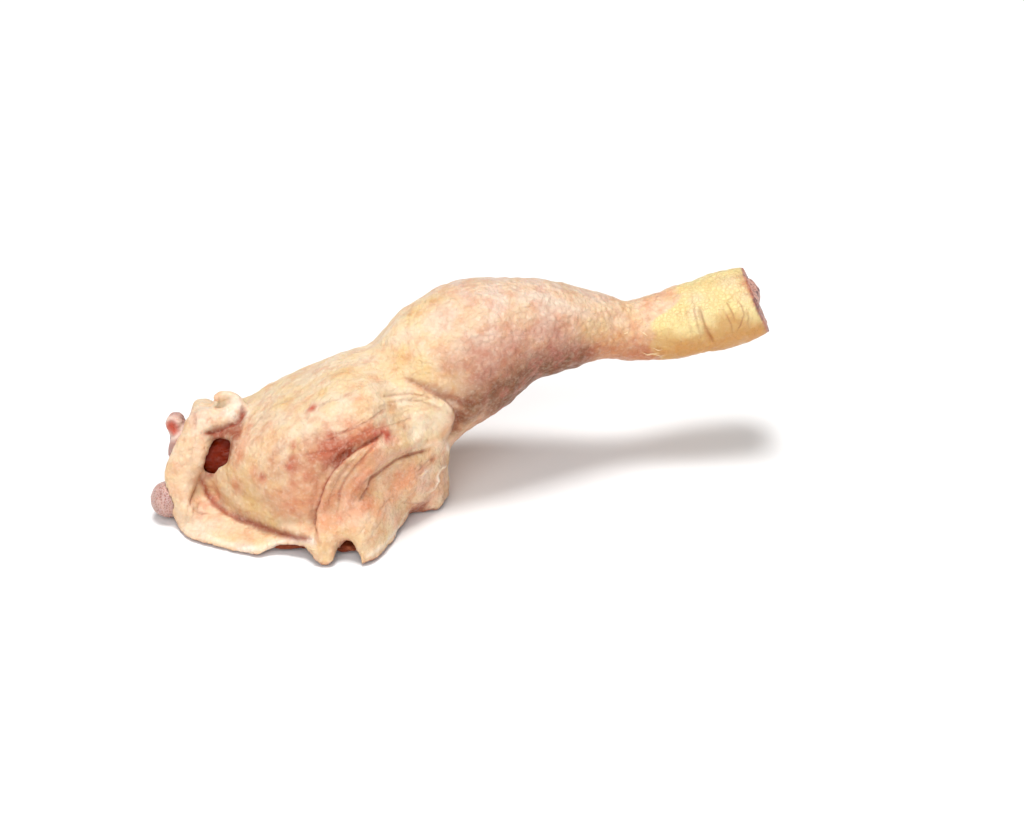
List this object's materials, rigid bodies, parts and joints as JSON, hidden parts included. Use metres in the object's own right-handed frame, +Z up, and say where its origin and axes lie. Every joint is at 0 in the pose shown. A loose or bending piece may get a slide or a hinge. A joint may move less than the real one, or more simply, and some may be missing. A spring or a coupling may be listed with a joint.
{
  "type": "raw chicken leg with thigh",
  "caption": "Raw chicken leg in its skin: thigh with folded loose skin, drumstick and yellow hock, with meat and bone showing at the cut thigh end.",
  "frame": {"origin": "under the middle of the whole, on the surface it rests on", "axes": "+X from the cut end of the thigh to the hock, -Y to the front that the folds face, +Z up"},
  "size_m": [0.2522, 0.1178, 0.0849],
  "materials": {
    "skin": "raw skin, moist, creamy pink to yellow",
    "raw_meat": "raw meat, moist, dark red",
    "thigh_bone": "cartilage, satin, greyish pink",
    "shank_bone": "cut joint, satin, dark pink"
  },
  "bodies": {
    "root": {"leg": "skin", "thigh_meat": "raw_meat", "thigh_bone": "thigh_bone", "shank_bone": "shank_bone"}
  },
  "joints": []
}
